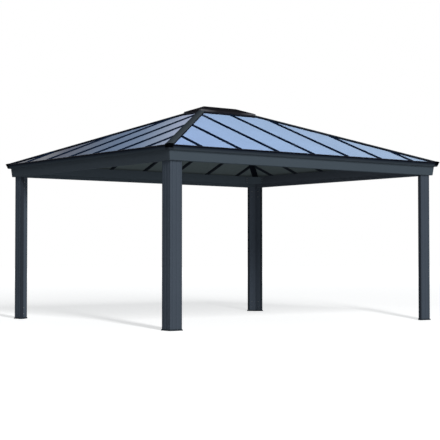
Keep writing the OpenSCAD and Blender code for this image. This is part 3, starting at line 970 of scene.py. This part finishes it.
def make_trim_screws():
    """Screws through the trim's wall, midway between the rafters."""
    out, z = from_tip(0.0, -TRIM_H * 0.55)
    spots, normals = [], []
    for side in SIDES:
        places = rafter_places(side)
        along = np.concatenate([[places[0] - RAFTER_STEP / 2], places[:-1] + RAFTER_STEP / 2,
                                [places[-1] + RAFTER_STEP / 2]])
        half, across = (HALF_X, HALF_Y) if is_long(side) else (HALF_Y, HALF_X)
        along = along[np.abs(along) < half - 0.02]
        spots.append(to_side(side, along, across + float(out), float(z)))
        normals.append(facing(to_side(side, 0.0, math.cos(PITCH), -math.sin(PITCH)), along))
    fasten("trim_screws", screw_shape(), spots, normals, trim_shaded_paint)


def make_bolts():
    """Bolts on the inner faces: three on each bracket flange, two on each post leg at top and bottom."""
    flange = WALL + BRACKET_ARM - BRACKET_FLANGE / 2
    face = WALL + BRACKET_PLATE
    leg = WALL + BOLT_INSET
    spots, normals = [], []
    for corner, (sign_x, sign_y) in CORNERS.items():
        places = []
        for z in (bracket_low.z + 0.025, (bracket_low.z + bracket_high.z) / 2, bracket_high.z - 0.025):
            places += [[-flange, -face, z], [-face, -flange, z]]
        for z in (0.07, 0.16, HEADROOM - 0.16, HEADROOM - 0.07):
            places += [[-leg, -WALL, z], [-WALL, -leg, z]]
        spots.append(to_corner(corner, np.array(places)))
        normals.append(np.tile([[0.0, -sign_y, 0.0], [-sign_x, 0.0, 0.0]], (len(places) // 2, 1)))
    fasten("frame_bolts", bolt_shape(), spots, normals, bolt_steel)


roof_seals = []
for corner in CORNERS:
    make_post(corner)
    make_foot(corner)
    make_bracket(corner)
    make_corner_cap(corner)
    make_hip_rafter(corner)
    roof_seals += make_hip_cap(corner)
roof_seals += make_ridge_cap()
for side in SIDES:
    make_beam(side)
    make_trim(side)
    make_rafters(side)
    make_panels(side)
    roof_seals += make_bars(side)
piece("roof_seals", joined(roof_seals), seal_rubber)
make_trim_seals()
make_ridge_beam()
make_bar_screws()
make_cap_screws()
make_trim_screws()
make_bolts()


# ---------------- floor, light and camera
FLOOR_HALF = 90.0
FLOOR_TONE = 0.72
FLOOR_LIFT = 0.57
FAR_FLOOR_LIFT = 0.86
LIFT_GROWS = (7.0, 45.0)
HORIZON_GLOW = 0.42
ZENITH_GLOW = 0.10
STRIP_FAR = 20.0


def background_share(tree):
    """1 for camera, glossy and transmission rays, which see the plain pale background."""
    path = node(tree, "ShaderNodeLightPath").outputs
    seen = math_node(tree, "ADD", path["Is Camera Ray"], path["Is Glossy Ray"], clamp=True)
    return math_node(tree, "ADD", seen, path["Is Transmission Ray"], clamp=True)


def make_floor():
    """Large level floor: a pale diffuse face that keeps the shadows, lifted to white where it is seen,
    and more so far out, where the key light comes in flat."""
    mesh = bpy.data.meshes.new("floor")
    corners = [(FLOOR_HALF * x, FLOOR_HALF * y, 0) for x, y in ((-1, -1), (1, -1), (1, 1), (-1, 1))]
    mesh.from_pydata(corners, [], [(0, 1, 2, 3)])
    material = bpy.data.materials.new("pale_floor")
    material.use_nodes = True
    tree = material.node_tree
    tree.nodes.clear()
    diffuse = node(tree, "ShaderNodeBsdfDiffuse", {"Color": (FLOOR_TONE, FLOOR_TONE, FLOOR_TONE, 1)})
    place = node(tree, "ShaderNodeTexCoord").outputs["Object"]
    away = node(tree, "ShaderNodeVectorMath", {0: place}, operation="LENGTH").outputs["Value"]
    lift = remapped(tree, away, *LIFT_GROWS, FLOOR_LIFT, FAR_FLOOR_LIFT)
    glow = node(tree, "ShaderNodeEmission", {"Color": (1, 1, 1, 1), "Strength": math_node(
        tree, "MULTIPLY", background_share(tree), lift)})
    both = node(tree, "ShaderNodeAddShader", {0: diffuse.outputs[0], 1: glow.outputs[0]})
    node(tree, "ShaderNodeOutputMaterial", {"Surface": both.outputs[0]})
    mesh.materials.append(material)
    floor = add_object("floor", mesh)


def make_world():
    """White where it is seen; as a light, a cool glow that is strongest at the horizon."""
    world = bpy.data.worlds.new("studio")
    bpy.context.scene.world = world
    world.use_nodes = True
    tree = world.node_tree
    tree.nodes.clear()
    seen = background_share(tree)
    towards = node(tree, "ShaderNodeTexCoord").outputs["Generated"]
    height = node(tree, "ShaderNodeSeparateXYZ", {0: towards})
    glow = remapped(tree, height.outputs["Z"], 0.0, 0.5, HORIZON_GLOW, ZENITH_GLOW)
    strength = remapped(tree, seen, 0.0, 1.0, glow, 1.0)
    colour = mixed(tree, seen, (0.88, 0.98, 1.04, 1), (1, 1, 1, 1))
    light = node(tree, "ShaderNodeBackground", {"Color": colour, "Strength": strength})
    node(tree, "ShaderNodeOutputWorld", {"Surface": light.outputs[0]})


def make_sun(name, azimuth, elevation, share, spread, shadow=True):
    """A far soft light, spread degrees wide. Azimuth is measured from +X towards +Y, in degrees; share
    is the part of a colour's full brightness that it gives a face square to it."""
    lamp = bpy.data.lights.new(name, "SUN")
    lamp.energy = share * math.pi
    lamp.angle = math.radians(spread)
    lamp.use_shadow = shadow
    sun = add_object(name, lamp)
    sun.rotation_euler = (0, math.radians(90 - elevation), math.radians(azimuth))


def make_strip(name, azimuth, elevation, share, tall, wide):
    """An upright strip light of tall by wide degrees, STRIP_FAR metres from the middle of the floor and
    facing it. It doesn't grow weaker on the way; azimuth, elevation and share are as for make_sun."""
    lamp = bpy.data.lights.new(name, "AREA")
    lamp.shape = "RECTANGLE"
    lamp.size = 2 * STRIP_FAR * math.tan(math.radians(tall / 2))
    lamp.size_y = 2 * STRIP_FAR * math.tan(math.radians(wide / 2))
    lamp.energy = share * math.pi ** 2
    lamp.use_nodes = True
    even = lamp.node_tree.nodes.new("ShaderNodeLightFalloff")
    even.inputs["Strength"].default_value = 1.0
    lamp.node_tree.links.new(even.outputs["Constant"], lamp.node_tree.nodes["Emission"].inputs["Strength"])
    strip = add_object(name, lamp)
    turn, lift = math.radians(azimuth), math.radians(elevation)
    level = STRIP_FAR * math.cos(lift)
    strip.location = (level * math.cos(turn), level * math.sin(turn), STRIP_FAR * math.sin(lift))
    strip.rotation_euler = (0, math.pi / 2 - lift, turn)
    strip.visible_camera = False


# The key light stands near the viewer; the suns are light thrown back by the floor and from behind.
make_floor()
make_world()
make_strip("key_light", 247.6, 28, 0.83, 21, 3.5)
make_sun("floor_bounce", 255, -35, 0.34, 60, shadow=False)
make_sun("back_fill", 50, 40, 0.22, 60, shadow=False)

lens = bpy.data.cameras.new("camera")
lens.lens = 101.24
lens.sensor_width = 36.0
lens.clip_end = 400.0
camera = add_object("camera", lens)
camera.location = (-11.034, -14.451, 0.885)
camera.rotation_euler = (math.pi / 2 + 0.0314, 0.0, -0.6521)
bpy.context.scene.camera = camera
bpy.context.scene.view_settings.view_transform = "Standard"
